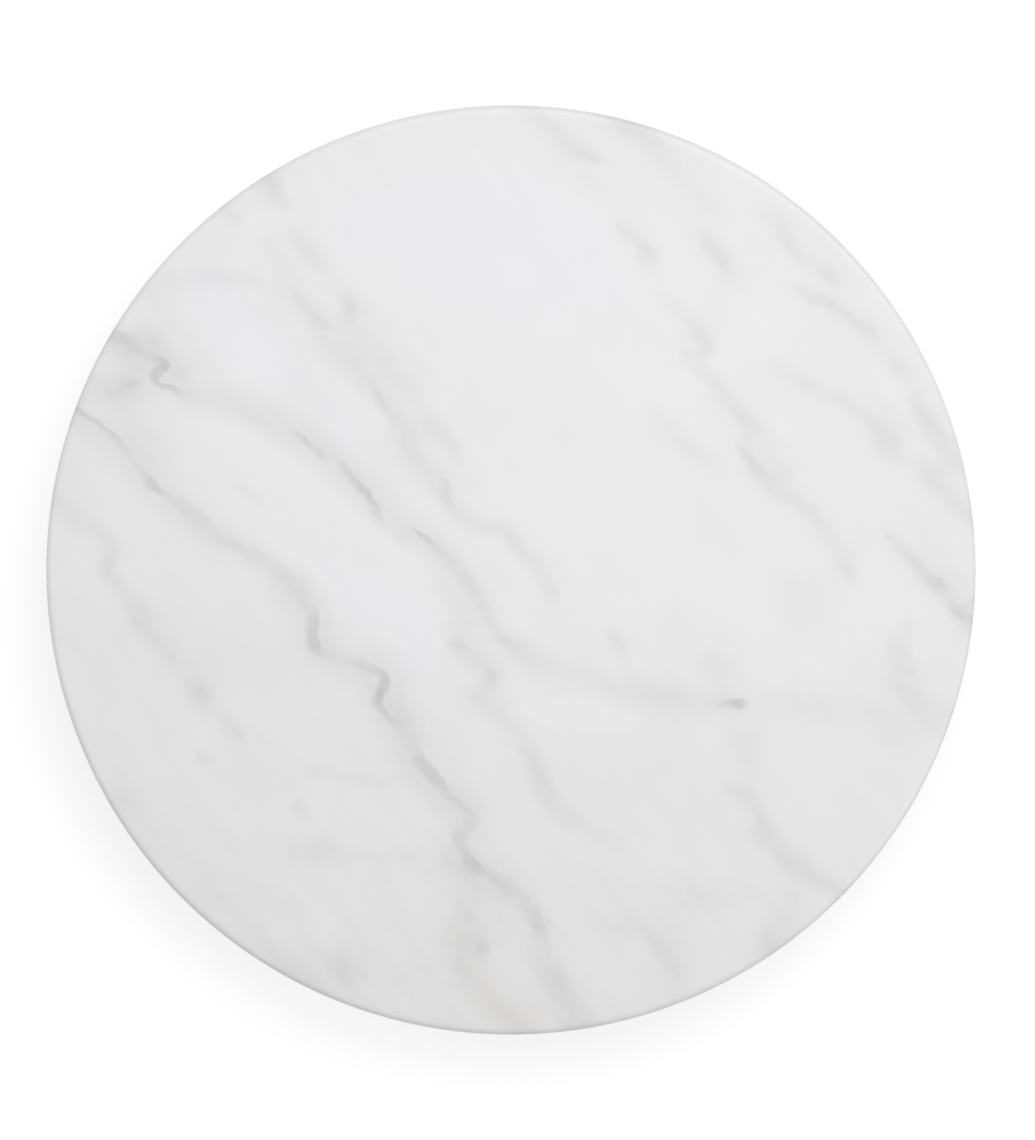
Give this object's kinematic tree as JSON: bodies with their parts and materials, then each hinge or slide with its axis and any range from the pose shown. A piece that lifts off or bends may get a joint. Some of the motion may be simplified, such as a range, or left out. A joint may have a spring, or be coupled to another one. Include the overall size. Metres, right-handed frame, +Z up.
{
  "type": "lazy susan turntable",
  "caption": "Round veined white marble serving slab turning on a low aluminium ball-bearing swivel with rubber feet.",
  "frame": {"origin": "on the turning axis, at the height of the surface that the feet stand on", "axes": "+Z up along the turning axis; +X and +Y across the slab, with a slab screw on +X"},
  "size_m": [0.305, 0.305, 0.035],
  "materials": {
    "marble": "polished white marble with soft grey veins",
    "gasket_rubber": "smooth sheet rubber",
    "turned_aluminium": "fine turned, satin",
    "race_aluminium": "fine turned, satin",
    "base_aluminium": "bead blasted, clear anodised",
    "screw_steel": "bright zinc plated",
    "ball_steel": "polished bearing steel",
    "brass": "turned",
    "nylon": "natural nylon strip",
    "foot_rubber": "moulded, matt"
  },
  "bodies": {
    "base": {"base_plate": "base_aluminium", "inner_race_lower": "race_aluminium", "inner_race_upper": "race_aluminium", "clamp_screws": "screw_steel", "rubber_foot_1": "foot_rubber", "rubber_foot_2": "foot_rubber", "rubber_foot_3": "foot_rubber", "rubber_foot_4": "foot_rubber", "rubber_foot_5": "foot_rubber", "rubber_foot_6": "foot_rubber"},
    "turntable": {"marble_slab": "marble", "slab_gasket": "gasket_rubber", "outer_ring": "turned_aluminium", "threaded_inserts": "brass", "ring_screws": "screw_steel"},
    "ball_train": {"ball_cage": "nylon", "bearing_ball_01": "ball_steel", "bearing_ball_02": "ball_steel", "bearing_ball_03": "ball_steel", "bearing_ball_04": "ball_steel", "bearing_ball_05": "ball_steel", "bearing_ball_06": "ball_steel", "bearing_ball_07": "ball_steel", "bearing_ball_08": "ball_steel", "bearing_ball_09": "ball_steel", "bearing_ball_10": "ball_steel", "bearing_ball_11": "ball_steel", "bearing_ball_12": "ball_steel", "bearing_ball_13": "ball_steel", "bearing_ball_14": "ball_steel", "bearing_ball_15": "ball_steel", "bearing_ball_16": "ball_steel", "bearing_ball_17": "ball_steel", "bearing_ball_18": "ball_steel", "bearing_ball_19": "ball_steel", "bearing_ball_20": "ball_steel", "bearing_ball_21": "ball_steel", "bearing_ball_22": "ball_steel", "bearing_ball_23": "ball_steel", "bearing_ball_24": "ball_steel"}
  },
  "joints": [
    {"name": "turntable_spin", "type": "hinge", "parent": "base", "child": "turntable", "pos_m": [0, 0, 0.012], "axis": [0, 0, 1], "continuous": true},
    {"name": "ball_train_spin", "type": "hinge", "parent": "base", "child": "ball_train", "pos_m": [0, 0, 0.012], "axis": [0, 0, 1], "continuous": true}
  ],
  "couplings": [
    {"joint": "ball_train_spin", "follows": "turntable_spin", "ratio": 0.513}
  ]
}
